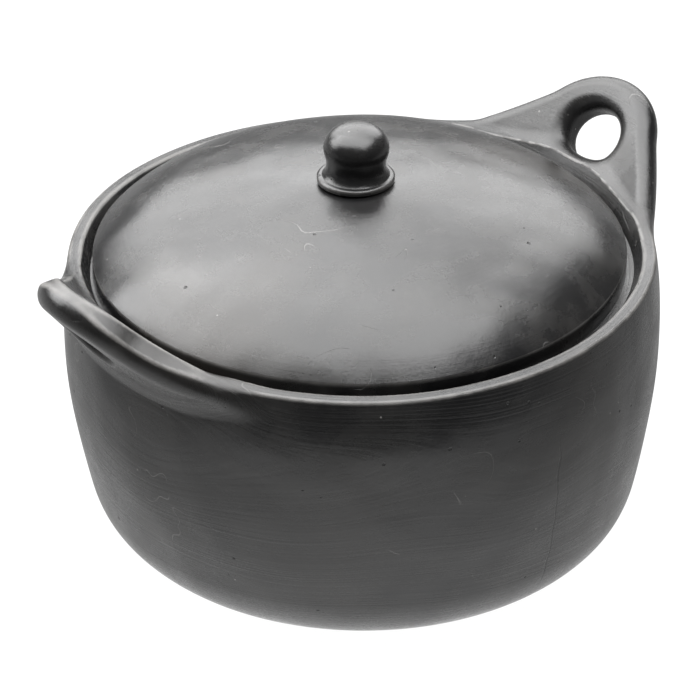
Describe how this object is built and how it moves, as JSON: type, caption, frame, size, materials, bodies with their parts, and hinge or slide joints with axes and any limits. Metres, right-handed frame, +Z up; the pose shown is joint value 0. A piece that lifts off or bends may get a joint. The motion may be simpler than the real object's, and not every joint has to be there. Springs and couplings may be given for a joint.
{
  "type": "lidded clay stew pot",
  "caption": "Wide round-bottomed black clay cooking pot with pierced ear handles on the rim and a domed lid with a knob that rests on an inner ledge.",
  "frame": {"origin": "centre of the foot, on the surface the pot stands on", "axes": "+Z up along the pot's axis, +X through the right ear, ears along -X and +X"},
  "size_m": [0.3024, 0.2438, 0.1878],
  "materials": {
    "bowl_clay": "burnished and smoke-fired, satin graphite black",
    "ear_clay": "burnished and smoke-fired, satin graphite black",
    "lid_clay": "burnished and smoke-fired, satin graphite black"
  },
  "bodies": {
    "pot": {"moulded_base": "bowl_clay", "wall_coil": "bowl_clay", "rim_coil": "bowl_clay", "lid_ledge": "bowl_clay", "left_ear": "ear_clay", "right_ear": "ear_clay"},
    "lid": {"lid_plate": "lid_clay", "knob_collar": "lid_clay", "lid_knob": "lid_clay"}
  },
  "joints": [
    {"name": "lid_lift", "type": "slide", "parent": "pot", "child": "lid", "axis": [0, 0, 1], "range_m": [0, 0.1]}
  ]
}
